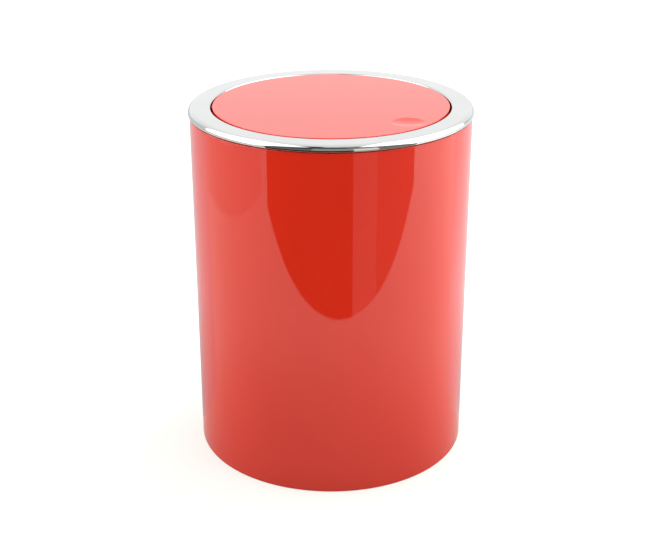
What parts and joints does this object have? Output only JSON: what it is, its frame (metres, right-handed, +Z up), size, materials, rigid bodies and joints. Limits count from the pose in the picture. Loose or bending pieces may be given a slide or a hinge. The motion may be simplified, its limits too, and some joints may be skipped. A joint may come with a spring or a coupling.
{
  "type": "swing-flap waste bin",
  "caption": "Round bathroom bin: a straight glossy bucket, a lift-off lid with a chromed ring, and a round counterweighted flap with a finger dimple that swings down when pressed.",
  "frame": {"origin": "centre of the foot ring, on the floor", "axes": "+Z up along the bin's axis, X along the flap's pivot line, -Y towards the finger dimple"},
  "size_m": [0.185, 0.185, 0.236],
  "materials": {
    "red_plastic": "high gloss moulded",
    "chrome_plate": "bright plated",
    "zinced_steel": "satin zinc",
    "bright_steel": "ground",
    "acetal": "smooth matt"
  },
  "bodies": {
    "bucket": {"body_shell": "red_plastic"},
    "lid": {"lid_frame": "red_plastic", "chrome_ring": "chrome_plate", "pivot_bush_left": "acetal", "pivot_bush_right": "acetal"},
    "flap": {"flap_top": "red_plastic", "flap_base": "red_plastic", "counterweight": "zinced_steel", "pivot_pin_left": "bright_steel", "pivot_pin_right": "bright_steel", "flap_screws": "bright_steel"}
  },
  "joints": [
    {"name": "lid_lift", "type": "slide", "parent": "bucket", "child": "lid", "axis": [0, 0, 1], "range_m": [0, 0.1]},
    {"name": "flap_swing", "type": "hinge", "parent": "lid", "child": "flap", "pos_m": [0, 0, 0.2282], "axis": [1, 0, 0], "range_deg": [0, 80]}
  ]
}
